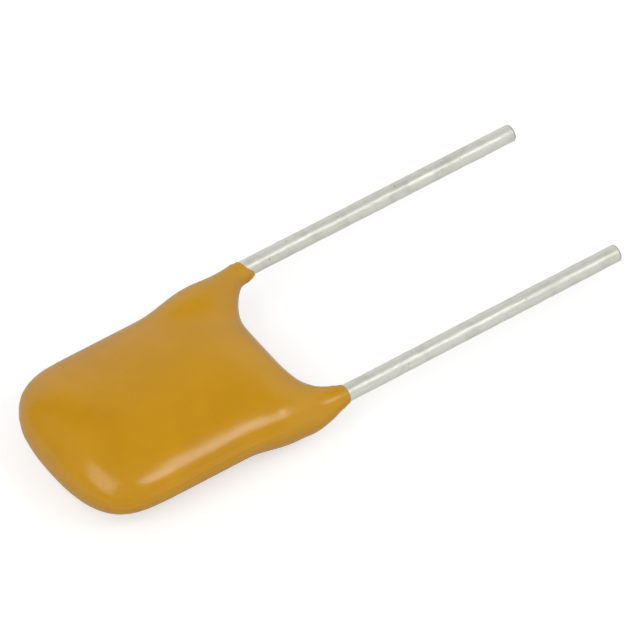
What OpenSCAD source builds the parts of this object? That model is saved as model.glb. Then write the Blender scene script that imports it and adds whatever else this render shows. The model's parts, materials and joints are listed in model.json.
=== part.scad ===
// Resettable fuse of the radial-leaded polymer kind: a thin conductive-polymer chip between two
// metal foils, a tinned wire soldered to each foil, and a dipped epoxy coat over all but the leads.
// It lies on one broad face: X is across the leads, Y runs towards their tips and Z is up.
// The origin is under the middle of the whole part, on the surface it lies on.

/* [Leads] */

// Distance between the axes of the two free leads
lead_pitch = 5.1; // [5:0.05:5.3]
// Diameter of the tinned wire
lead_d = 0.51; // [0.45:0.01:0.56]
// Length of each lead that stands out of the coat
lead_len = 9.2; // [7.6:0.1:14]
// Height of the upper lead's free axis above the middle plane of the chip
upper_exit = 0.45; // [0.3:0.05:0.45]
// Depth of the lower lead's free axis below the middle plane of the chip
lower_exit = 0; // [0:0.05:0.2]
// Centreline radius of the two bends that set the wire over to the chip
bend_r = 0.7; // [0.6:0.05:0.8]
// Length of straight wire between the two bends
link_len = 0.3; // [0.2:0.05:0.4]
// Length of straight wire between the set-over and the chip's lead end
chip_gap = 0.2; // [0.1:0.05:0.3]
// Share of its diameter that the wire keeps where it is bent
bend_thin = 0.96; // [0.92:0.01:0.98]
// Bevel left where the wire was cut
tip_bevel = 0.05; // [0.02:0.01:0.1]

/* [Chip] */

// Width of the chip, across the leads
chip_w = 4.5; // [4.3:0.05:4.7]
// Length of the chip, along the leads
chip_l = 5.6; // [5:0.1:8]
// Thickness of the conductive polymer
core_t = 0.3; // [0.2:0.05:0.4]
// Thickness of each electrode foil
foil_t = 0.035; // [0.025:0.005:0.06]

/* [Soldering] */

// Distance from the chip's side edge to the axis of the wire on it
lead_inset = 0.35; // [0.33:0.01:0.4]
// Thickness of the solder film between foil and wire
film_t = 0.03; // [0.02:0.01:0.06]
// Length of wire that lies on the chip, from the chip's lead end to the wire's cut end
wire_on_chip = 3.9; // [3:0.1:4.2]
// Length of foil left bare of solder at the chip's lead end
solder_back = 0.2; // [0.1:0.05:0.4]
// Length of solder past the wire's cut end
solder_tail = 0.2; // [0.1:0.05:0.4]
// Width of the solder where it meets the foil
solder_w = 0.62; // [0.58:0.01:0.66]
// Width of the solder at the height of the wire's axis, hidden in the wire
solder_top_w = 0.4; // [0.36:0.01:0.42]

/* [Coat] */

// Thickness of epoxy over the outside of each wire
cover_face = 0.42; // [0.36:0.01:0.5]
// Thickness of epoxy beside the chip
cover_side = 0.6; // [0.54:0.01:0.7]
// Thickness of epoxy past the chip's closed end
cover_end = 1.08; // [0.95:0.01:1.2]
// Thickness of epoxy over the chip's lead end, at the middle of the hollow between the leads
cover_lead_end = 0.54; // [0.5:0.01:0.6]
// Fullness of the section across the leads: 2 is an ellipse, larger is squarer
crown = 2; // [1.9:0.05:2.4]
// Fullness of the section along the leads
end_crown = 5.8; // [5:0.2:7]
// Fullness of the corners in plan
corner_full = 1.17; // [1.1:0.01:1.4]
// How far the shoulders below the leads stand out beyond the waist
shoulder_out = 0.02; // [0:0.01:0.1]
// Distance from the chip's lead end back to the shoulders
shoulder_back = 0.5; // [0.3:0.1:0.8]
// Distance from the chip's lead end back to the waist
waist_back = 2; // [1.6:0.1:2.4]
// How far the closed end bows out at its middle
end_bow = 0.05; // [0:0.01:0.2]
// How far the edge between the leads rises from its middle to the sides
hollow = 0.43; // [0.35:0.01:0.6]
// Thickness of epoxy round a lead where the coat ends
neck_cover = 0.05; // [0.04:0.01:0.1]
// Radius of the epoxy round a wire at the foot of its neck
foot_r = 0.65; // [0.6:0.01:0.75]
// Length over which a neck's root dies out into the body
root_len = 5; // [4:0.5:6]
// Share of the wire's set-over that the neck leans in by
neck_lean = 0.75; // [0.65:0.05:0.85]
// Reach of the fillet that runs from each neck into the body
fillet = 0.76; // [0.65:0.01:0.85]
// Depth of the flat that the part lies on, taken off the rounded underside
seat_flat = 0.02; // [0.01:0.005:0.04]

/* [Hidden] */

lead_r = lead_d / 2;
// Length of straight wire that starts inside the coat, before the first bend
stub = 0.12;
// Length by which the straight wire reaches into each bend
lap = 0.03;
// Place of the soldered wire's axis, from the middle of the chip
wire_x = chip_w / 2 - lead_inset;
wire_z = core_t / 2 + foil_t + film_t + lead_r;
// The set-over from a free lead at height e to the soldered wire: its reach, the angle of the
// two equal bends that make it, its length along the lead and the slant of its plane
set_x = lead_pitch / 2 - wire_x;
function set_over(e) = norm([set_x, wire_z - e]);
function bend_a(e) =
    acos((2 * bend_r - set_over(e)) / norm([2 * bend_r, link_len])) - atan2(link_len, 2 * bend_r);
function set_len(e) = 2 * bend_r * sin(bend_a(e)) + link_len * cos(bend_a(e));
function set_turn(e) = atan2(set_x, wire_z - e);
// Places along Y, counted from the plane where the coat ends on the leads
foot_y = -stub - max(set_len(upper_exit), set_len(lower_exit));
chip_top = foot_y - chip_gap;
chip_end = chip_top - chip_l;
solder_top = chip_top - solder_back;
wire_end = chip_top - wire_on_chip;
solder_end = wire_end - solder_tail;
// Outer form of the coat
half_w = chip_w / 2 + cover_side;
half_t = wire_z + lead_r + cover_face;
coat_top = chip_top + cover_lead_end;
coat_end = chip_end - cover_end;
neck_r = lead_r + neck_cover;
waist_y = chip_top - waist_back;
shoulder_y = chip_top - shoulder_back;
// Where the part sits in the shared frame
mid_z = half_t - seat_flat;
exit_y = -(lead_len + coat_end) / 2;
// Line inside the coat that the sections of its skin are drawn from: how far it runs behind the
// hollow edge, and how far its two ends stay inside the skin at most
spine_back = 1;
spine_in = 0.75;
// Plan radius that the sections turn by at the closed-end corners
turn_r = 1.3;
// Numbers of sections and points in the coat's skin
n_side = 26;
n_corner = 10;
n_end = 8;
n_face = 9;
n_round = 12;

// Puts what is drawn about the chip's middle plane into the shared frame
module placed() {
    translate([0, exit_y, mid_z]) children();
}

// Turns the upper wire, solder or foil into the lower one
module lower() {
    rotate([0, 180, 0]) children();
}

// Smooth step from 0 to 1
function step01(t) = let (c = min(max(t, 0), 1)) c * c * (3 - 2 * c);

// Smooth union of two distances, with a fillet of reach k
function blend(a, b, k) = let (h = max(k - abs(a - b), 0) / k) min(a, b) - h * h * k / 4;

// Half width of the body at y, from the straight sides up to the shoulders
function side_at(y) = half_w + shoulder_out * step01((y - waist_y) / (shoulder_y - waist_y));

// Ends of the body at x: the bowed closed end, and the hollow edge between the leads
function end_at(x) = coat_end + end_bow * pow(x / half_w, 2);
function top_at(x) = coat_top + hollow * pow(x / half_w, 2);

// The pillow that covers the chip, negative inside
function pillow(x, y, z) =
    let (mid = (top_at(x) + end_at(x)) / 2,
         half_l = (top_at(x) - end_at(x)) / 2,
         across = pow(abs(x) / side_at(y), crown * corner_full),
         along = pow(abs(y - mid) / half_l, end_crown * corner_full),
         up = pow(abs(z) / half_t, crown))
    half_t * (pow(pow(across + along, 1 / corner_full) + up, 1 / crown) - 1);

// The neck that climbs a wire, negative inside: it leans in and widens from the lead to its foot
function neck(x, y, z) =
    let (e = x < 0 ? upper_exit : lower_exit,
         s = step01(y / foot_y),
         cx = lead_pitch / 2 - s * neck_lean * set_x,
         cz = (e + s * (wire_z / 2 - e)) * (x < 0 ? 1 : -1))
    norm([abs(x) - cx, z - cz]) - neck_r - s * (foot_r - neck_r) + pow(max(foot_y - y, 0), 2) / root_len;

// The whole coat, negative inside
function coat(p) = blend(pillow(p.x, p.y, p.z), neck(p.x, p.y, p.z), fillet);

// Distance along a ray, from a point inside the coat, at which it leaves the coat
function leave(p, d, lo, hi, n) =
    let (m = (lo + hi) / 2)
    n == 0 ? m : coat(p + m * d) < 0 ? leave(p, d, m, hi, n - 1) : leave(p, d, lo, m, n - 1);

// Point where a ray leaves the coat, or the flat it lies on
function skin(p, d) =
    let (t = leave(p, d, 0, 4 * half_t, 18),
         down = (-mid_z - p.z) / min(d.z, -0.001))
    d.z < 0 && down < t ? [p.x + down * d.x, p.y + down * d.y, -mid_z] : p + t * d;

// Directions of the sections, which all turn about the vertical line midway between the leads:
// down one side, round a corner, along the closed end, and back the same way
side_dirs = [for (i = [0 : n_side - 1])
    atan2(-(coat_end + turn_r) * pow(i / n_side, 1.5), half_w)];
corner_dirs = [for (i = [0 : n_corner - 1])
    let (a = 90 * i / n_corner)
    atan2(-coat_end - turn_r + turn_r * sin(a), half_w - turn_r + turn_r * cos(a))];
end_dirs = [for (i = [0 : n_end - 1])
    atan2(-coat_end, (half_w - turn_r) * (1 - i / n_end))];
half_dirs = concat(side_dirs, corner_dirs, end_dirs);
dirs = concat(half_dirs, [90], [for (i = [len(half_dirs) - 1 : -1 : 0]) 180 - half_dirs[i]]);

// One closed section of the coat's skin: rays from a spine inside it
function section(a) =
    let (u = [cos(a), -sin(a), 0],
         core = min(lead_pitch / 2 / max(abs(u.x), 0.01), (spine_back - coat_top) / max(-u.y, 0.01)),
         lift = (u.x < 0 ? upper_exit : -lower_exit) * (1 - step01(core * u.y / foot_y)),
         m = core * u + [0, 0, lift],
         r_out = core + leave(m, u, 0, norm([lead_pitch, coat_end]), 18),
         r_in = core - leave(m, -u, 0, core, 18),
         c = min((r_out - r_in) / 4, spine_in),
         up = [0, 0, 1],
         a0 = (r_in + c) * u + [0, 0, lift],
         a1 = (r_out - c) * u + [0, 0, lift])
    concat(
        [for (k = [0 : n_face]) skin(a0 + (a1 - a0) * k / n_face, up)],
        [for (k = [1 : n_round - 1]) let (b = 90 - 180 * k / n_round) skin(a1, cos(b) * u + sin(b) * up)],
        [for (k = [n_face : -1 : 0]) skin(a0 + (a1 - a0) * k / n_face, -up)],
        [for (k = [1 : n_round - 1]) let (b = -90 - 180 * k / n_round) skin(a0, cos(b) * u + sin(b) * up)]);

// Outer form of the coat: the sections joined into one closed skin, ended square on the leads
module coat_form() {
    rings = [for (a = dirs) section(a)];
    n = len(rings[0]);
    last = len(rings) - 1;
    points = [for (r = rings) each r];
    walls = [for (i = [0 : last - 1], j = [0 : n - 1])
        let (k = (j + 1) % n)
        each [[i * n + j, i * n + k, (i + 1) * n + k], [i * n + j, (i + 1) * n + k, (i + 1) * n + j]]];
    caps = [[for (j = [n - 1 : -1 : 0]) j], [for (j = [0 : n - 1]) last * n + j]];
    polyhedron(points, concat(walls, caps), convexity = 6);
}

// One bend of the wire, in the XY plane, turning from X towards Y
module bend(a) {
    rotate_extrude(angle = a, $fn = 96) translate([bend_r, 0]) circle(r = bend_thin * lead_r, $fn = 48);
}

// Wire on the upper side of the chip's middle plane: free lead at height e, then the set-over of
// two bends with a straight link between them, then the soldered length
module wire(e) {
    a = bend_a(e);
    translate([-lead_pitch / 2, -stub, e]) rotate([0, set_turn(e), 0]) {
        translate([0, -lap, 0]) rotate([-90, 0, 0])
            cylinder(r = lead_r, h = lap + stub + lead_len - tip_bevel, $fn = 48);
        translate([0, stub + lead_len - tip_bevel, 0]) rotate([-90, 0, 0])
            cylinder(r1 = lead_r, r2 = lead_r - tip_bevel, h = tip_bevel, $fn = 48);
        translate([0, 0, bend_r]) rotate([0, 90, 180]) bend(a);
        translate([0, -bend_r * sin(a), bend_r - bend_r * cos(a)]) rotate([90 - a, 0, 0])
            translate([0, 0, -lap]) cylinder(r = lead_r, h = link_len + 2 * lap, $fn = 48);
        translate([0, -set_len(e), set_over(e) - bend_r]) rotate([0, -90, 0]) bend(a);
        translate([0, lap - set_len(e), set_over(e)]) rotate([90, 0, 0])
            cylinder(r = lead_r, h = lap - stub - set_len(e) - wire_end, $fn = 48);
    }
}

// Upper solder as a plain wedge-sided bar on the foil, before the wire is taken out of it
module solder_bar() {
    foot_z = core_t / 2 + foil_t;
    translate([-wire_x, solder_top, foot_z]) rotate([90, 0, 0])
        linear_extrude(height = solder_top - solder_end)
            polygon([[-solder_w / 2, 0], [solder_w / 2, 0],
                     [solder_top_w / 2, film_t + lead_r], [-solder_top_w / 2, film_t + lead_r]]);
}

// Upper foil about the chip's middle plane
module foil() {
    translate([-chip_w / 2, chip_end, core_t / 2]) cube([chip_w, chip_l, foil_t]);
}

// Chip and both foils as one block
module stack() {
    translate([-chip_w / 2, chip_end, -core_t / 2 - foil_t]) cube([chip_w, chip_l, core_t + 2 * foil_t]);
}

// Dipped epoxy coat, hollowed for all that it holds
module epoxy_coating() {
    color([0.79, 0.56, 0.1]) placed() difference() {
        coat_form();
        stack();
        solder_bar();
        lower() solder_bar();
        wire(upper_exit);
        lower() wire(lower_exit);
    }
}

// Conductive polymer between the foils
module ptc_chip() {
    color([0.09, 0.09, 0.1]) placed()
        translate([-chip_w / 2, chip_end, -core_t / 2]) cube([chip_w, chip_l, core_t]);
}

// Foil bonded to the chip's upper face
module upper_electrode_foil() {
    color([0.72, 0.66, 0.56]) placed() foil();
}

// Foil bonded to the chip's lower face
module lower_electrode_foil() {
    color([0.72, 0.66, 0.56]) placed() lower() foil();
}

// Tinned wire on the chip's upper face
module upper_lead_wire() {
    color([0.78, 0.78, 0.74]) placed() wire(upper_exit);
}

// Tinned wire on the chip's lower face
module lower_lead_wire() {
    color([0.78, 0.78, 0.74]) placed() lower() wire(lower_exit);
}

// Solder that holds the upper wire to its foil
module upper_solder_joint() {
    color([0.66, 0.67, 0.68]) placed() difference() {
        solder_bar();
        wire(upper_exit);
    }
}

// Solder that holds the lower wire to its foil
module lower_solder_joint() {
    color([0.66, 0.67, 0.68]) placed() lower() difference() {
        solder_bar();
        wire(lower_exit);
    }
}

epoxy_coating();
ptc_chip();
upper_electrode_foil();
lower_electrode_foil();
upper_lead_wire();
lower_lead_wire();
upper_solder_joint();
lower_solder_joint();
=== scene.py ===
"""Looks of a radial-leaded resettable fuse that lies on its broad face: a dipped epoxy coat with a
neck up each lead, two tinned wires, and the chip, foils and solder that the coat holds."""

import json
from math import acos, atan2, cos, hypot, pi, radians, sin

import bmesh
import bpy
from mathutils import Matrix, Vector


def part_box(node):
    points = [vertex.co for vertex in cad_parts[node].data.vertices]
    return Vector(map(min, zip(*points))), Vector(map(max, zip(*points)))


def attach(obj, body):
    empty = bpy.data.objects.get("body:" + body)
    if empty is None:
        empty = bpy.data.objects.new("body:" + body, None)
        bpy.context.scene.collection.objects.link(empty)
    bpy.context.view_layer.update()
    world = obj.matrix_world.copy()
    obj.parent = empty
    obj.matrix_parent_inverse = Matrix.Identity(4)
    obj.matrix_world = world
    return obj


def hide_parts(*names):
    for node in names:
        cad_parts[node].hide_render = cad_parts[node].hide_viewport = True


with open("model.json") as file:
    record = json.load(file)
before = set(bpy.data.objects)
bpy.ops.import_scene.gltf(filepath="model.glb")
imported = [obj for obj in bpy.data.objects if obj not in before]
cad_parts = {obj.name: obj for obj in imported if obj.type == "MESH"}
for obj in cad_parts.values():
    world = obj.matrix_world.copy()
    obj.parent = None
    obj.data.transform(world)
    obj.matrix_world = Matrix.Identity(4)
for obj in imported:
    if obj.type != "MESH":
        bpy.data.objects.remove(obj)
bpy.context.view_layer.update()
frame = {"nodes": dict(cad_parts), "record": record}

MM = 0.001


def mm(x, y, z):
    return Vector((x, y, z)) * MM


def box_of(node):
    """Low and high corner of a solid, in millimetres."""
    return [Vector(corner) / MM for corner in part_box(node)]


def mount_of(name):
    return next(mount for mount in frame["record"]["mounts"] if mount["name"] == name)


# Sizes of the part in millimetres, from its solids and mounts
COAT_LOW, COAT_HIGH = box_of("epoxy_coating")
CHIP_LOW, CHIP_HIGH = box_of("ptc_chip")
WIRE_LOW, WIRE_HIGH = box_of("upper_lead_wire")
JOINT_LOW, JOINT_HIGH = box_of("lower_solder_joint")
FOIL_TOP = box_of("upper_electrode_foil")[1].z
UPPER_PIN = mount_of("upper_lead")
LOWER_PIN = mount_of("lower_lead")
LEAD_R = UPPER_PIN["dims"]["r_mm"]
LEAD_X = LOWER_PIN["pos_m"][0] / MM
UPPER_Z = UPPER_PIN["pos_m"][2] / MM
LOWER_Z = LOWER_PIN["pos_m"][2] / MM
MID_Z = (CHIP_LOW.z + CHIP_HIGH.z) / 2
# The leads come out of the coat here, and end a hair inside the solid tips
EXIT_Y = COAT_HIGH.y
TIP_TRIM = 0.0002
TIP_Y = WIRE_HIGH.y - TIP_TRIM
# Where the wires lie on the chip, and how they are set over to there
SOLDER_FILM = 0.03
SOLDERED_X = (JOINT_LOW.x + JOINT_HIGH.x) / 2
SOLDERED_RISE = FOIL_TOP - MID_Z + SOLDER_FILM + LEAD_R
SOLDERED_END_Y = WIRE_LOW.y
STUB = 0.12
BEND_R = 0.7
LINK = 0.3


# Working in edit mode

def let_go():
    if bpy.context.object and bpy.context.object.mode != "OBJECT":
        bpy.ops.object.mode_set(mode="OBJECT")
    bpy.ops.object.select_all(action="DESELECT")


def hold(piece):
    let_go()
    piece.select_set(True)
    bpy.context.view_layer.objects.active = piece


def work_on(piece):
    hold(piece)
    bpy.ops.object.mode_set(mode="EDIT")


def pick(piece, kind, test):
    """Selects the points, edges or faces that pass the test, which is given their middle in
    millimetres, and for edges the edge and for faces the normal too."""
    bpy.ops.mesh.select_mode(type={"verts": "VERT", "edges": "EDGE", "faces": "FACE"}[kind])
    bpy.ops.mesh.select_all(action="DESELECT")
    mesh = bmesh.from_edit_mesh(piece.data)
    for item in getattr(mesh, kind):
        if kind == "verts":
            chosen = test(item.co / MM)
        elif kind == "edges":
            chosen = test((item.verts[0].co + item.verts[1].co) / 2 / MM, item)
        else:
            chosen = test(item.calc_center_median() / MM, item.normal)
        item.select_set(bool(chosen))
    mesh.select_flush_mode()
    bmesh.update_edit_mesh(piece.data)


def cut(place, normal):
    bpy.ops.mesh.select_all(action="SELECT")
    bpy.ops.mesh.bisect(plane_co=place, plane_no=normal)


def face_outwards():
    bpy.ops.mesh.select_all(action="SELECT")
    bpy.ops.mesh.normals_make_consistent(inside=False)


def finish_with(piece, kind, **settings):
    """Adds a modifier, sets it and applies it."""
    hold(piece)
    step = piece.modifiers.new(kind.lower(), kind)
    for name, value in settings.items():
        setattr(step, name, value)
    bpy.ops.object.modifier_apply(modifier=step.name)


def settle(piece):
    hold(piece)
    bpy.ops.object.transform_apply(location=True, rotation=True, scale=True)


# The dipped coat

# The cage is a block whose corners stand this far off those of the coat's box, short of the necks
LOW_CORNER_SHIFT = Vector((0.018, -0.1, -0.04))
HIGH_CORNER_SHIFT = Vector((-0.018, -0.75, 0.02))
CAGE_LOW = COAT_LOW + LOW_CORNER_SHIFT
CAGE_HIGH = COAT_HIGH + HIGH_CORNER_SHIFT
# It is cut into rows at these places
CAGE_CUTS_X = (-2.3, -1.75, -0.9, 0, 0.9, 1.75, 2.3)
CAGE_CUTS_Y = (-8.0, -7.0, -5.8, -4.6, -3.4, -2.3)
CAGE_CUTS_Z = (0.55, MID_Z, 1.7)
# Thin sides, with the row before them
SIDE_X = 2.8
FLANK_X = 2.0
SIDE_SHARE = (1, 1, 0.4)
FLANK_SHARE = (1, 1, 0.78)
# Rounded closed end, with the row before it
END_Y = -8.6
END_ROW_Y = -7.5
END_SHARE = (0.72, 1, 0.5)
END_ROW_SHARE = (0.93, 1, 0.92)
# Lead end, with a hollow edge between the feet of the necks
FRONT_Y = -1.3
HOLLOW_X = 1.0
HOLLOW_SHARE = (1, 1, 0.45)
HOLLOW_SHIFT = (0, -0.28, 0)
FOOT_X = 1.5
FOOT_SHARE = (1, 1, 0.8)
UPPER_FOOT_SHIFT = (0, 0, 0.27)
LOWER_FOOT_SHIFT = (0, 0, -0.12)
# The cage is opened under each lead, in the faces that look along the leads more than this
OPENING_X = 1.75
FACING = 0.5
# Rings of each neck's cage: place along the lead from the coat's end, reach in from the lead's axis,
# share of the way down to the neck's foot, and radius
NECK_RINGS = ((-0.55, 0.16, 0.33, 0.54), (-0.3, 0.05, 0.12, 0.42), (-0.2, 0.025, 0.07, 0.333),
              (-0.11, 0.01, 0.02, 0.317), (-0.04, 0, 0, 0.3), (0, 0, 0, 0.278))
NECK_DROP = 0.225
NECK_LIP = 0.1
RING_EVENING = 30
# How much sooner the coat stops on the near lead
STOPS_SOONER = 0.066
# The part of the cage that is drawn onto the solid coat ends this far before the necks do
SKIN = "skin"
SKIN_SHORT = 0.25
ROUNDING = 2
# The far neck is swollen, its end is tilted, and a tongue of it runs up the lead's inner and lower side
FAR_SWELL = 1.035
FAR_END = 0.06
FAR_TILT = (("Z", -10), ("X", -7))
FAR_TILT_REACH = 0.35
TONGUE_SIDE = Vector((0.8, 0, -0.6))
TONGUE_FROM = 0.2
TONGUE = (0, 0.18, 0)
TONGUE_REACH = 0.3
# The near neck sags outwards and down, in a stretch between these distances from the coat's end
SAG_X = 1.7
SAG_FROM, SAG_TO = 1.05, 0.75
SAG = (0.065, 0, -0.048)
SAG_REACH = 0.7
# The upper face dips before the near neck
DIP_X = 1.8
DIP_Z = 1.3
DIP_FROM, DIP_TO = 1.55, 1.05
DIP = (0, 0, -0.07)
DIP_REACH = 0.8
# The far corner of the closed end is drawn in
CORNER_X = -2.2
CORNER_Y = -7.9
CORNER_PULL = (0.045, 0.055, 0)
CORNER_REACH = 1.0
# The necks lose their creases between these distances from the coat's end
CREASE_X = 1.5
CREASE_FROM, CREASE_TO = 0.4, 0.13
CREASE_EVENING = 16


def drawn(piece, test, share, shift=(0, 0, 0)):
    """Draws the chosen points of a cage together about its middle line, and moves them."""
    pick(piece, "verts", test)
    bpy.ops.transform.resize(value=share, center_override=mm(0, 0, MID_Z))
    bpy.ops.transform.translate(value=mm(*shift))


def pulled(piece, test, shift, reach):
    """Moves the chosen points, and those within reach of them less and less."""
    pick(piece, "verts", test)
    bpy.ops.transform.translate(
        value=mm(*shift), use_proportional_edit=True, use_proportional_connected=True,
        proportional_edit_falloff="SMOOTH", proportional_size=reach * MM)


def cage():
    """A block about the coat, with thin sides, a rounded closed end and a hollow edge between the leads."""
    let_go()
    bpy.ops.mesh.primitive_cube_add(
        size=1, location=(CAGE_LOW + CAGE_HIGH) / 2 * MM, scale=(CAGE_HIGH - CAGE_LOW) * MM)
    coat = bpy.context.object
    coat.name = coat.data.name = "dipped_coat"
    settle(coat)
    work_on(coat)
    for x in CAGE_CUTS_X:
        cut(mm(x, 0, 0), (1, 0, 0))
    for y in CAGE_CUTS_Y:
        cut(mm(0, y, 0), (0, 1, 0))
    for z in CAGE_CUTS_Z:
        cut(mm(0, 0, z), (0, 0, 1))
    drawn(coat, lambda p: abs(p.x) > SIDE_X, SIDE_SHARE)
    drawn(coat, lambda p: FLANK_X < abs(p.x) < SIDE_X, FLANK_SHARE)
    drawn(coat, lambda p: p.y < END_Y, END_SHARE)
    drawn(coat, lambda p: END_Y < p.y < END_ROW_Y, END_ROW_SHARE)
    drawn(coat, lambda p: p.y > FRONT_Y and abs(p.x) < HOLLOW_X, HOLLOW_SHARE, HOLLOW_SHIFT)
    drawn(coat, lambda p: p.y > FRONT_Y and p.x < -FOOT_X, FOOT_SHARE, UPPER_FOOT_SHIFT)
    drawn(coat, lambda p: p.y > FRONT_Y and p.x > FOOT_X, FOOT_SHARE, LOWER_FOOT_SHIFT)
    return coat


def neck(coat, side, z):
    """Draws the cage's opening on one side out along its lead in rings, and closes it."""
    pick(coat, "edges", lambda p, e: e.is_boundary and p.x * side > 0)
    for y, reach, share, radius in NECK_RINGS:
        bpy.ops.mesh.extrude_region_move(TRANSFORM_OT_translate={"value": (0, 0, 0)})
        bpy.ops.mesh.vertices_smooth(factor=0.5, repeat=RING_EVENING)
        bpy.ops.transform.tosphere(value=1)
        ring = [v.co.copy() for v in bmesh.from_edit_mesh(coat.data).verts if v.select]
        centre = sum(ring, Vector()) / len(ring)
        mean = sum((p - centre).length for p in ring) / len(ring)
        bpy.ops.transform.resize(value=[radius * MM / mean] * 3, center_override=centre)
        if side > 0:
            y -= STOPS_SOONER * (1 - y / NECK_RINGS[0][0])
        place = mm(side * (LEAD_X - reach), EXIT_Y + y, z - share * NECK_DROP)
        bpy.ops.transform.translate(value=place - centre)
    bpy.ops.mesh.edge_face_add()
    bpy.ops.mesh.inset(thickness=NECK_LIP * MM)


def far_meniscus(coat):
    """The coat runs further up the inner and lower side of the far lead."""
    lead = Vector((-LEAD_X, EXIT_Y, UPPER_Z))
    pick(coat, "verts", lambda p: p.x < 0 and p.y > EXIT_Y - SKIN_SHORT)
    bpy.ops.transform.resize(value=(FAR_SWELL, 1, FAR_SWELL), center_override=lead * MM)
    pick(coat, "verts", lambda p: p.x < 0 and p.y > EXIT_Y - FAR_END)
    for axis, turn in FAR_TILT:
        bpy.ops.transform.rotate(
            value=radians(turn), orient_axis=axis, center_override=lead * MM, use_proportional_edit=True,
            proportional_edit_falloff="SMOOTH", proportional_size=FAR_TILT_REACH * MM)
    pulled(coat, lambda p: p.x < 0 and p.y > EXIT_Y - FAR_END and TONGUE_SIDE.dot(p - lead) > TONGUE_FROM,
           TONGUE, TONGUE_REACH)


def sagged(coat):
    """Pulls the rounded coat into its sag, dip and drawn-in corner, and evens out the necks."""
    work_on(coat)
    pulled(coat, lambda p: p.x > SAG_X and EXIT_Y - SAG_FROM < p.y < EXIT_Y - SAG_TO, SAG, SAG_REACH)
    pulled(coat, lambda p: p.x > DIP_X and p.z > DIP_Z and EXIT_Y - DIP_FROM < p.y < EXIT_Y - DIP_TO,
           DIP, DIP_REACH)
    pulled(coat, lambda p: p.x < CORNER_X and p.y < CORNER_Y, CORNER_PULL, CORNER_REACH)
    pick(coat, "verts", lambda p: abs(p.x) > CREASE_X and EXIT_Y - CREASE_FROM < p.y < EXIT_Y - CREASE_TO)
    bpy.ops.mesh.vertices_smooth(factor=0.5, repeat=CREASE_EVENING)


def dipped_coat():
    """A cage with a neck drawn out along each lead, rounded and drawn onto the solid coat."""
    coat = cage()
    pick(coat, "faces", lambda p, n: n.y > FACING and abs(p.x) > OPENING_X)
    bpy.ops.mesh.delete(type="FACE")
    neck(coat, -1, UPPER_Z)
    neck(coat, 1, LOWER_Z)
    coat.vertex_groups.new(name=SKIN)
    pick(coat, "verts", lambda p: p.y < EXIT_Y - SKIN_SHORT)
    bpy.ops.object.vertex_group_assign()
    far_meniscus(coat)
    face_outwards()
    finish_with(coat, "SUBSURF", levels=ROUNDING, render_levels=ROUNDING)
    finish_with(coat, "SHRINKWRAP", target=frame["nodes"]["epoxy_coating"], vertex_group=SKIN,
                wrap_method="NEAREST_SURFACEPOINT", wrap_mode="ON_SURFACE")
    finish_with(coat, "SUBSURF", levels=ROUNDING, render_levels=ROUNDING)
    sagged(coat)
    hold(coat)
    bpy.ops.object.shade_smooth()
    return coat


# The wires

WIRE_SIDES = 32
BEND_STEPS = 8
# The free lead's long edges are cut into rings, for the unevenness of its tin
LONG_EDGE = 1
TIN_RINGS = 110
# The length of a wire that has uneven tin stops short of its tip
TIN = "tin"
TIN_SHORT = 0.1
LUMP_HEIGHT = 0.02
LUMP_SIZE = 0.3
LUMP_DETAIL = 2
TIN_LUMPS = bpy.data.textures.new("tin_lumps", "CLOUDS")
TIN_LUMPS.noise_scale = LUMP_SIZE * MM
TIN_LUMPS.noise_depth = LUMP_DETAIL
# Rims left where the wire was cut
RIM = 0.05
RIM_STEPS = 3
TOUCHING = 0.001
SHARP = radians(40)


def drawn_rod(name, side, z, rise):
    """A rod drawn out from its cut tip: the free lead, the set-over of two bends, the soldered length."""
    across = Vector((side * (SOLDERED_X - LEAD_X), 0, rise))
    reach = across.length
    across.normalize()
    along = Vector((0, -1, 0))
    # Two equal bends, with a straight link between them, set the wire over by that reach
    turn = acos((2 * BEND_R - reach) / hypot(2 * BEND_R, LINK)) - atan2(LINK, 2 * BEND_R)
    axis = across.cross(along)
    let_go()
    bpy.ops.mesh.primitive_circle_add(
        vertices=WIRE_SIDES, radius=LEAD_R * MM, fill_type="NGON",
        location=mm(side * LEAD_X, TIP_Y, z), rotation=(pi / 2, 0, 0))
    wire = bpy.context.object
    wire.name = wire.data.name = name
    settle(wire)
    work_on(wire)
    bpy.ops.mesh.select_all(action="SELECT")
    bpy.ops.mesh.extrude_region_move(
        TRANSFORM_OT_translate={"value": along * (TIP_Y - EXIT_Y + STUB) * MM})
    start = Vector((side * LEAD_X, EXIT_Y - STUB, z))
    bpy.ops.mesh.spin(steps=BEND_STEPS, angle=turn, center=(start + across * BEND_R) * MM, axis=axis)
    slant = across * sin(turn) + along * cos(turn)
    bpy.ops.mesh.extrude_region_move(TRANSFORM_OT_translate={"value": slant * LINK * MM})
    bend = across * BEND_R * (1 - cos(turn)) + along * BEND_R * sin(turn)
    knee = start + bend + slant * LINK
    inward = across * cos(turn) - along * sin(turn)
    bpy.ops.mesh.spin(steps=BEND_STEPS, angle=-turn, center=(knee - inward * BEND_R) * MM, axis=axis)
    foot = knee + bend
    bpy.ops.mesh.extrude_region_move(
        TRANSFORM_OT_translate={"value": along * (foot.y - SOLDERED_END_Y) * MM})
    return wire


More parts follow.
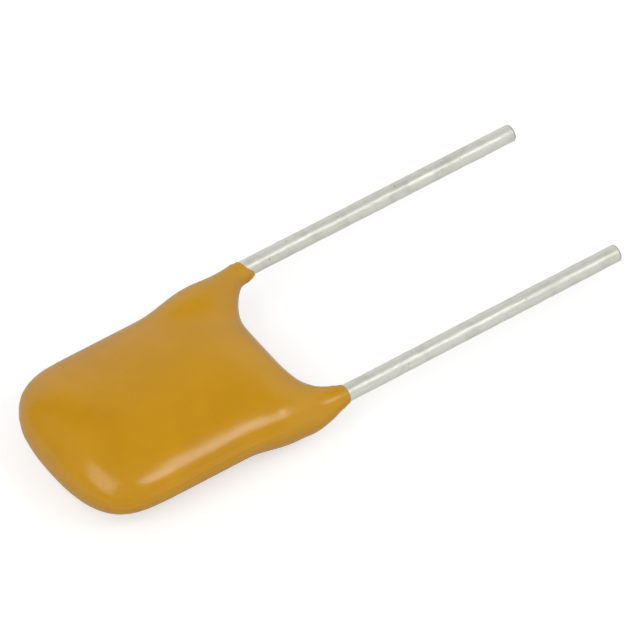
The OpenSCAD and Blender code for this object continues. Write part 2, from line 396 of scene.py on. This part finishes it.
def tinned_wire(name, side, z, rise):
    """The rod with its rims and its uneven tin."""
    wire = drawn_rod(name, side, z, rise)
    pick(wire, "edges", lambda p, e: EXIT_Y < p.y
         and abs(e.verts[0].co.y - e.verts[1].co.y) > LONG_EDGE * MM)
    bpy.ops.mesh.subdivide(number_cuts=TIN_RINGS)
    pick(wire, "edges", lambda p, e: all(
        min(abs(v.co.y / MM - TIP_Y), abs(v.co.y / MM - SOLDERED_END_Y)) < TOUCHING for v in e.verts))
    bpy.ops.mesh.bevel(offset=RIM * MM, segments=RIM_STEPS)
    face_outwards()
    let_go()
    tin = wire.vertex_groups.new(name=TIN)
    tin.add([v.index for v in wire.data.vertices if EXIT_Y < v.co.y / MM < TIP_Y - TIN_SHORT], 1, "REPLACE")
    finish_with(wire, "DISPLACE", texture=TIN_LUMPS, texture_coords="LOCAL", mid_level=0.5,
                strength=LUMP_HEIGHT * MM, vertex_group=TIN)
    hold(wire)
    bpy.ops.object.shade_smooth_by_angle(angle=SHARP)
    return wire


# Finishes

NODE_STEP = 200
# Sockets of a Mix node that hold its colours
FIRST, SECOND, MIXED = 6, 7, 2
# Most of a cloudy tone lies between these
TONE_LOW, TONE_HIGH = 0.3, 0.7
CLOUD_DETAIL = 3
# Share of their length that the tin's drawn lines keep when they are read as a pattern
DRAWN_LINES = 0.06
# Colours: those of a tone from its low to its high side, and those of marks on it
EPOXY_TONES = ((0.63, 0.3, 0.0035), (0.69, 0.336, 0.006))
EPOXY_SPECK = (0.16, 0.06, 0.004)
TIN_TONES = ((0.86, 0.86, 0.775), (0.92, 0.92, 0.83))
TIN_MOTTLE = (0.66, 0.66, 0.58)
TIN_MARK = (0.25, 0.24, 0.2)
# Bare cut end of the wire, and painted shade on its rounded rim that stands in for the darker reflection
# there
CUT_END_AND_RIM_SHADE = (0.42, 0.42, 0.37)
POLYMER_TONES = ((0.006, 0.006, 0.007), (0.018, 0.018, 0.02))
FOIL_TONES = ((0.42, 0.38, 0.32), (0.52, 0.48, 0.41))
SOLDER_TONES = ((0.38, 0.39, 0.4), (0.5, 0.51, 0.52))
# How much of their colour the marks bring, and the tones between which the tin is mottled
SPECK_SHARE = 0.3
MOTTLE_SHARE = 0.6
MOTTLE_FROM, MOTTLE_TO = 0.5, 0.75
MARK_SHARE = 0.6
# Dull tin looks only partly like metal
TIN_METAL = 0.5
# Roughness from its low to its high side
EPOXY_GLOSS = (0.17, 0.27)
TIN_GLOSS = (0.4, 0.48)
POLYMER_GLOSS = (0.6, 0.8)
FOIL_GLOSS = (0.4, 0.55)
SOLDER_GLOSS = (0.3, 0.5)
# The epoxy gets duller between these distances from its end, and the wire is darkened from these distances
# to the tip: its bare cut end, and painted shade on the rounded rim before it
DULL_FROM, DULL_TO = 1.7, 0.7
RIM_SHADE_FROM, RIM_SHADE_TO = 0.07, 0.03
# Depth of the bumps, in millimetres
EPOXY_RIPPLE = 0.004
TIN_RIPPLE = 0.004
POLYMER_GRAIN = 0.004
FOIL_NODULE = 0.003
SOLDER_RIPPLE = 0.01


def group(name, inputs, outputs):
    """An empty shader node group with named sockets."""
    made = bpy.data.node_groups.new(name, "ShaderNodeTree")
    for label, kind, value in inputs:
        socket = made.interface.new_socket(name=label, in_out="INPUT", socket_type=kind)
        if value is not None:
            socket.default_value = value
    for label, kind in outputs:
        made.interface.new_socket(name=label, in_out="OUTPUT", socket_type=kind)
    return made


def add(tree, kind, **settings):
    """A new node, laid out after those that the tree has."""
    made = tree.nodes.new(kind)
    made.location = (NODE_STEP * len(tree.nodes), 0)
    for name, value in settings.items():
        setattr(made, name, value)
    return made


def blotches():
    """Slow cloudy change of tone, the same in every direction."""
    made = group("cloudy_tone", [("Vector", "NodeSocketVector", None), ("Size", "NodeSocketFloat", 1.0)],
                 [("Tone", "NodeSocketFloat")])
    start = add(made, "NodeGroupInput")
    noise = add(made, "ShaderNodeTexNoise")
    noise.inputs["Detail"].default_value = CLOUD_DETAIL
    end = add(made, "NodeGroupOutput")
    made.links.new(start.outputs["Vector"], noise.inputs["Vector"])
    made.links.new(start.outputs["Size"], noise.inputs["Scale"])
    made.links.new(noise.outputs["Fac"], end.inputs["Tone"])
    return made


def specks():
    """Small separate grains: 1 in the middle of a grain, 0 between the grains."""
    made = group("fine_specks", [("Vector", "NodeSocketVector", None), ("Count", "NodeSocketFloat", 5.0),
                                 ("Reach", "NodeSocketFloat", 0.2)], [("Grain", "NodeSocketFloat")])
    start = add(made, "NodeGroupInput")
    cells = add(made, "ShaderNodeTexVoronoi")
    fade = add(made, "ShaderNodeMapRange", interpolation_type="SMOOTHSTEP")
    fade.inputs["From Min"].default_value = 0
    fade.inputs["To Min"].default_value = 1
    fade.inputs["To Max"].default_value = 0
    end = add(made, "NodeGroupOutput")
    made.links.new(start.outputs["Vector"], cells.inputs["Vector"])
    made.links.new(start.outputs["Count"], cells.inputs["Scale"])
    made.links.new(cells.outputs["Distance"], fade.inputs["Value"])
    made.links.new(start.outputs["Reach"], fade.inputs["From Max"])
    made.links.new(fade.outputs["Result"], end.inputs["Grain"])
    return made


CLOUDY_TONE = blotches()
FINE_SPECKS = specks()


def places(tree, along=1.0):
    """The piece's own coordinates in millimetres, drawn out along the leads by a share below 1."""
    where = add(tree, "ShaderNodeTexCoord")
    scale = add(tree, "ShaderNodeMapping")
    scale.inputs["Scale"].default_value = (1 / MM, along / MM, 1 / MM)
    tree.links.new(where.outputs["Object"], scale.inputs["Vector"])
    return scale.outputs["Vector"]


def finish(name):
    """A new material with its shader, its output and the piece's own coordinates in millimetres."""
    made = bpy.data.materials.new(name)
    made.use_nodes = True
    tree = made.node_tree
    tree.nodes.clear()
    shader = add(tree, "ShaderNodeBsdfPrincipled")
    out = add(tree, "ShaderNodeOutputMaterial")
    tree.links.new(shader.outputs["BSDF"], out.inputs["Surface"])
    return made, tree, shader, places(tree)


def use(tree, kind, vector, **values):
    made = add(tree, "ShaderNodeGroup", node_tree=kind)
    tree.links.new(vector, made.inputs["Vector"])
    for name, value in values.items():
        made.inputs[name].default_value = value
    return made.outputs[0]


def mixed(tree, factor, first, second):
    """Colour that goes from first to second as factor goes from 0 to 1."""
    made = add(tree, "ShaderNodeMix", data_type="RGBA")
    tree.links.new(factor, made.inputs["Factor"])
    for socket, value in ((made.inputs[FIRST], first), (made.inputs[SECOND], second)):
        if isinstance(value, tuple):
            socket.default_value = (*value, 1)
        else:
            tree.links.new(value, socket)
    return made.outputs[MIXED]


def ranged(tree, value, low, high, start=0.0, end=1.0):
    """A value that goes from low to high as another goes from start to end."""
    made = add(tree, "ShaderNodeMapRange")
    made.inputs["From Min"].default_value = start
    made.inputs["From Max"].default_value = end
    made.inputs["To Min"].default_value = low
    made.inputs["To Max"].default_value = high
    tree.links.new(value, made.inputs["Value"])
    return made.outputs["Result"]


def lengthwise(tree, place):
    """The place along the leads."""
    split = add(tree, "ShaderNodeSeparateXYZ")
    tree.links.new(place, split.inputs["Vector"])
    return split.outputs["Y"]


def joined(tree, operation, first, second):
    made = add(tree, "ShaderNodeMath", operation=operation)
    tree.links.new(first, made.inputs[0])
    tree.links.new(second, made.inputs[1])
    return made.outputs[0]


def weighted(tree, value, weight):
    made = add(tree, "ShaderNodeMath", operation="MULTIPLY")
    made.inputs[1].default_value = weight
    tree.links.new(value, made.inputs[0])
    return made.outputs[0]


def bumped(tree, shader, height, depth):
    made = add(tree, "ShaderNodeBump")
    made.inputs["Strength"].default_value = 1
    made.inputs["Distance"].default_value = depth * MM
    tree.links.new(height, made.inputs["Height"])
    tree.links.new(made.outputs["Normal"], shader.inputs["Normal"])


def epoxy_finish():
    made, tree, shader, place = finish("mustard_epoxy")
    tone = use(tree, CLOUDY_TONE, place, Size=0.6)
    grain = use(tree, FINE_SPECKS, place, Count=3.2, Reach=0.1)
    fine = use(tree, CLOUDY_TONE, place, Size=9.0)
    body = mixed(tree, ranged(tree, tone, 0, 1, TONE_LOW, TONE_HIGH), *EPOXY_TONES)
    body = mixed(tree, ranged(tree, grain, 0, SPECK_SHARE), body, EPOXY_SPECK)
    tree.links.new(body, shader.inputs["Base Color"])
    # The thin coat of the necks is as dull as the dullest of the rest
    thin = ranged(tree, lengthwise(tree, place), 0, EPOXY_GLOSS[1], EXIT_Y - DULL_FROM, EXIT_Y - DULL_TO)
    gloss = ranged(tree, fine, *EPOXY_GLOSS, TONE_LOW, TONE_HIGH)
    tree.links.new(joined(tree, "MAXIMUM", gloss, thin), shader.inputs["Roughness"])
    bumped(tree, shader, fine, EPOXY_RIPPLE)
    return made


def tin_finish():
    made, tree, shader, place = finish("tinned_wire")
    drawn_out = places(tree, DRAWN_LINES)
    lines = use(tree, CLOUDY_TONE, drawn_out, Size=14.0)
    tone = use(tree, CLOUDY_TONE, drawn_out, Size=2.0)
    body = mixed(tree, ranged(tree, tone, 0, 1, TONE_LOW, TONE_HIGH), *TIN_TONES)
    # Mottled tin with a few dark marks
    mottle = use(tree, CLOUDY_TONE, place, Size=2.6)
    body = mixed(tree, ranged(tree, mottle, 0, MOTTLE_SHARE, MOTTLE_FROM, MOTTLE_TO), body, TIN_MOTTLE)
    marks = use(tree, FINE_SPECKS, place, Count=3.0, Reach=0.13)
    body = mixed(tree, ranged(tree, marks, 0, MARK_SHARE), body, TIN_MARK)
    # Bare core where the tip was cut, and painted shade on the rounded rim before it that stands in for its
    # darker reflection
    bare_end_and_rim_shade = ranged(tree, lengthwise(tree, place), 0, 1, TIP_Y - RIM_SHADE_FROM, TIP_Y - RIM_SHADE_TO)
    body = mixed(tree, bare_end_and_rim_shade, body, CUT_END_AND_RIM_SHADE)
    tree.links.new(body, shader.inputs["Base Color"])
    shader.inputs["Metallic"].default_value = TIN_METAL
    tree.links.new(ranged(tree, lines, *TIN_GLOSS, TONE_LOW, TONE_HIGH), shader.inputs["Roughness"])
    bumped(tree, shader, lines, TIN_RIPPLE)
    return made


def polymer_finish():
    made, tree, shader, place = finish("carbon_polymer")
    grain = use(tree, FINE_SPECKS, place, Count=12.0, Reach=0.4)
    tone = use(tree, CLOUDY_TONE, place, Size=3.0)
    tree.links.new(mixed(tree, grain, *POLYMER_TONES), shader.inputs["Base Color"])
    tree.links.new(ranged(tree, tone, *POLYMER_GLOSS), shader.inputs["Roughness"])
    bumped(tree, shader, grain, POLYMER_GRAIN)
    return made


def foil_finish():
    made, tree, shader, place = finish("nickel_foil")
    nodules = use(tree, FINE_SPECKS, place, Count=16.0, Reach=0.6)
    tone = use(tree, CLOUDY_TONE, place, Size=1.5)
    tree.links.new(mixed(tree, tone, *FOIL_TONES), shader.inputs["Base Color"])
    shader.inputs["Metallic"].default_value = 1
    tree.links.new(ranged(tree, nodules, *FOIL_GLOSS), shader.inputs["Roughness"])
    bumped(tree, shader, nodules, FOIL_NODULE)
    return made


def solder_finish():
    made, tree, shader, place = finish("dull_solder")
    frost = use(tree, FINE_SPECKS, place, Count=9.0, Reach=0.5)
    tone = use(tree, CLOUDY_TONE, place, Size=4.0)
    tree.links.new(mixed(tree, tone, *SOLDER_TONES), shader.inputs["Base Color"])
    shader.inputs["Metallic"].default_value = 1
    tree.links.new(ranged(tree, frost, *SOLDER_GLOSS), shader.inputs["Roughness"])
    bumped(tree, shader, tone, SOLDER_RIPPLE)
    return made


def coat_with(piece, material):
    piece.data.materials.clear()
    piece.data.materials.append(material)


# The part

coat = dipped_coat()
upper_lead = tinned_wire("upper_lead", -1, UPPER_Z, MID_Z + SOLDERED_RISE - UPPER_Z)
lower_lead = tinned_wire("lower_lead", 1, LOWER_Z, MID_Z - SOLDERED_RISE - LOWER_Z)

tin = tin_finish()
foil = foil_finish()
solder = solder_finish()
for piece, material, node, slot in (
        (coat, epoxy_finish(), "epoxy_coating", "epoxy"),
        (upper_lead, tin, "upper_lead_wire", "tinned_wire"),
        (lower_lead, tin, "lower_lead_wire", "tinned_wire")):
    coat_with(piece, material)
    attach(piece, "root")
    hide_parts(node)
for node, material in (
        ("ptc_chip", polymer_finish()), ("upper_electrode_foil", foil), ("lower_electrode_foil", foil),
        ("upper_solder_joint", solder), ("lower_solder_joint", solder)):
    frame["nodes"][node].material_slots[0].material = material


# Floor, light and camera

WHITE = (1, 1, 1, 1)
# The paper's width in metres, its grey, and its glow where it is seen and where it is mirrored in the part
FLOOR_SIZE = 4
PAPER = 0.6
FLOOR_SEEN = 0.58
FLOOR_MIRRORED = 0.1
# Direction in which the surroundings are palest, and their paleness from the far side of it (0) to it (1)
PALE_SIDE = (-0.15, 0.74, -0.65)
PALENESS = ((0, 0.28), (0.2, 0.25), (0.3, 0.14), (0.36, 0.1), (0.41, 0.22), (0.45, 0.5), (0.55, 0.7),
            (0.625, 0.75), (1, 0.6))
# The lamps face this place, in millimetres, from this distance, in metres
LIT_PLACE = (0, -3, 1)
LAMP_DISTANCE = 0.25
# Each lamp's name, direction from the part, width and height in metres, brightness of its face, and
# whether the part mirrors it
LAMPS = (
    ("right_soft_box", (0.507, 0.352, 0.787), 0.095, 0.06, 5.2, True),
    ("left_soft_box", (0.17, -0.64, 0.75), 0.16, 0.2, 2.1, True),
    ("overhead_fill", (0, 0, 1), 0.3, 0.3, 0.15, False),
    ("front_fill", (0.88, -0.3, 0.25), 0.3, 0.3, 0.7, False),
    ("left_fill", (-0.75, -0.6, 0.3), 0.3, 0.3, 0.5, False))
# The camera's turn and lift in degrees, its distance and the shift of its aim in millimetres, and its lens
CAMERA_TURN = 55.19
CAMERA_LIFT = 48
CAMERA_DISTANCE = 266
AIM_RIGHT = 0.686
AIM_UP = 0.45
SENSOR = 36
LENS = 538
CLIP_START = 0.01


def floor():
    """White paper that keeps the part's shadow."""
    let_go()
    bpy.ops.mesh.primitive_plane_add(size=FLOOR_SIZE)
    made = bpy.context.object
    made.name = "floor"
    paper = bpy.data.materials.new("white_paper")
    paper.use_nodes = True
    tree = paper.node_tree
    shader = tree.nodes["Principled BSDF"]
    shader.inputs["Base Color"].default_value = (PAPER, PAPER, PAPER, 1)
    shader.inputs["Roughness"].default_value = 1
    shader.inputs["Specular IOR Level"].default_value = 0
    rays = add(tree, "ShaderNodeLightPath")
    through = joined(tree, "MAXIMUM", rays.outputs["Is Glossy Ray"], rays.outputs["Is Transmission Ray"])
    glow = joined(tree, "ADD", weighted(tree, rays.outputs["Is Camera Ray"], FLOOR_SEEN),
                  weighted(tree, through, FLOOR_MIRRORED))
    shader.inputs["Emission Color"].default_value = WHITE
    tree.links.new(glow, shader.inputs["Emission Strength"])
    coat_with(made, paper)


def soft_box(name, towards, width, height, brightness, mirrored):
    """An area lamp in a direction from the part, facing it; brightness is that of its own face."""
    lamp = bpy.data.lights.new(name, "AREA")
    lamp.shape = "RECTANGLE"
    lamp.size = width
    lamp.size_y = height
    lamp.energy = brightness * pi * width * height
    made = bpy.data.objects.new(name, lamp)
    bpy.context.scene.collection.objects.link(made)
    towards = Vector(towards).normalized()
    made.location = mm(*LIT_PLACE) + towards * LAMP_DISTANCE
    made.rotation_euler = towards.to_track_quat("Z", "Y").to_euler()
    made.visible_glossy = mirrored


def surroundings():
    """Pale behind the part, dark over and behind the camera; white where the camera sees past the floor."""
    world = bpy.data.worlds.new("studio")
    bpy.context.scene.world = world
    world.use_nodes = True
    tree = world.node_tree
    sky = tree.nodes["Background"]
    where = add(tree, "ShaderNodeTexCoord")
    behind = add(tree, "ShaderNodeVectorMath", operation="DOT_PRODUCT")
    behind.inputs[1].default_value = PALE_SIDE
    tree.links.new(where.outputs["Generated"], behind.inputs[0])
    level = add(tree, "ShaderNodeValToRGB")
    tree.links.new(ranged(tree, behind.outputs["Value"], 0, 1, -1, 1), level.inputs["Fac"])
    points = level.color_ramp.elements
    while len(points) < len(PALENESS):
        points.new(0.5)
    for point, (place, value) in zip(points, PALENESS):
        point.position = place
        point.color = (value, value, value, 1)
    rays = add(tree, "ShaderNodeLightPath")
    seen = add(tree, "ShaderNodeMix", data_type="RGBA")
    tree.links.new(rays.outputs["Is Camera Ray"], seen.inputs["Factor"])
    tree.links.new(level.outputs["Color"], seen.inputs[FIRST])
    seen.inputs[SECOND].default_value = WHITE
    tree.links.new(seen.outputs[MIXED], sky.inputs["Color"])


def camera():
    turn, lift = radians(CAMERA_TURN), radians(CAMERA_LIFT)
    back = Vector((sin(turn) * cos(lift), -cos(turn) * cos(lift), sin(lift)))
    right = Vector((cos(turn), sin(turn), 0))
    up = back.cross(right)
    place = mm(0, EXIT_Y, MID_Z) + (right * AIM_RIGHT + up * AIM_UP + back * CAMERA_DISTANCE) * MM
    lens = bpy.data.cameras.new("camera")
    lens.sensor_width = SENSOR
    lens.lens = LENS
    lens.clip_start = CLIP_START
    made = bpy.data.objects.new("camera", lens)
    bpy.context.scene.collection.objects.link(made)
    made.matrix_world = Matrix((
        (right.x, up.x, back.x, place.x),
        (right.y, up.y, back.y, place.y),
        (right.z, up.z, back.z, place.z),
        (0, 0, 0, 1)))
    bpy.context.scene.camera = made


floor()
surroundings()
for lamp in LAMPS:
    soft_box(*lamp)
camera()
bpy.context.scene.view_settings.view_transform = "Standard"
